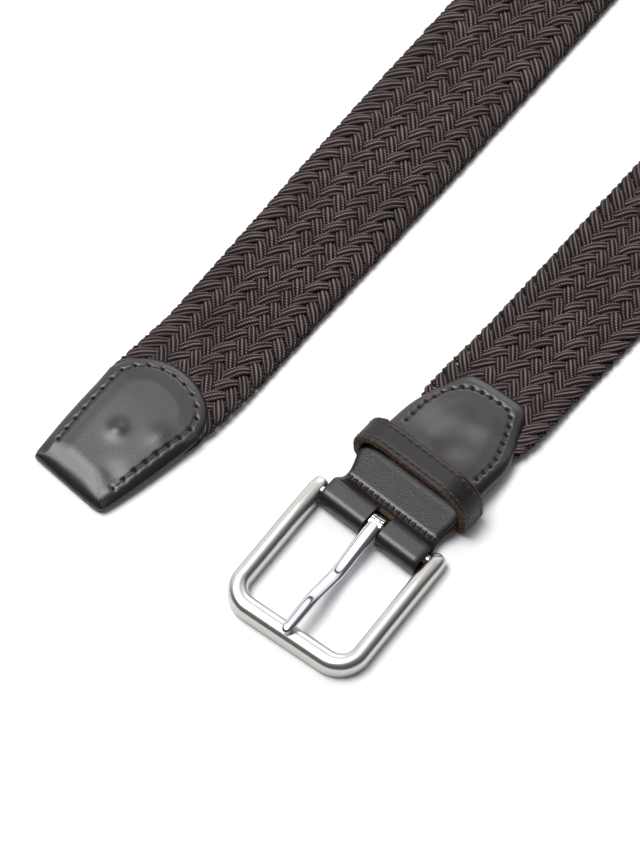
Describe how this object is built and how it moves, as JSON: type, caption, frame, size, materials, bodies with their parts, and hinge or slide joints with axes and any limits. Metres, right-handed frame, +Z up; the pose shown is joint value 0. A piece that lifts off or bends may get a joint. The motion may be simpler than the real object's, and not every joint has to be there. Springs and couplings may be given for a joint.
{
  "type": "braided belt",
  "caption": "Dark brown braided waist belt with leather ends, a leather keeper and a satin frame buckle with a polished prong, lying unfastened.",
  "frame": {"origin": "middle of the belt's footprint, on the surface that it lies on", "axes": "+Y along the two arms, away from the buckle and the tip; +X from the tip's arm to the buckle's arm; +Z up"},
  "size_m": [0.1468, 0.4803, 0.0374],
  "materials": {
    "braid": "braided cord, dark brown, dull",
    "leather": "smooth fine-grained, dark charcoal brown, soft satin",
    "frame_metal": "satin nickel",
    "prong_metal": "polished"
  },
  "bodies": {
    "strap": {"braid_band": "braid", "tip_leather": "leather", "buckle_leather": "leather", "keeper": "leather"},
    "buckle": {"buckle_frame": "frame_metal"},
    "prong": {"prong": "prong_metal"}
  },
  "joints": [
    {"name": "buckle_swing", "type": "hinge", "parent": "strap", "child": "buckle", "pos_m": [0.04167, -0.19444, 0.0033], "axis": [-0.9976, -0.0698, 0], "range_deg": [-45, 25]},
    {"name": "prong_swing", "type": "hinge", "parent": "buckle", "child": "prong", "pos_m": [0.04167, -0.19444, 0.0033], "axis": [-0.9976, -0.0698, 0], "range_deg": [0, 75]}
  ]
}
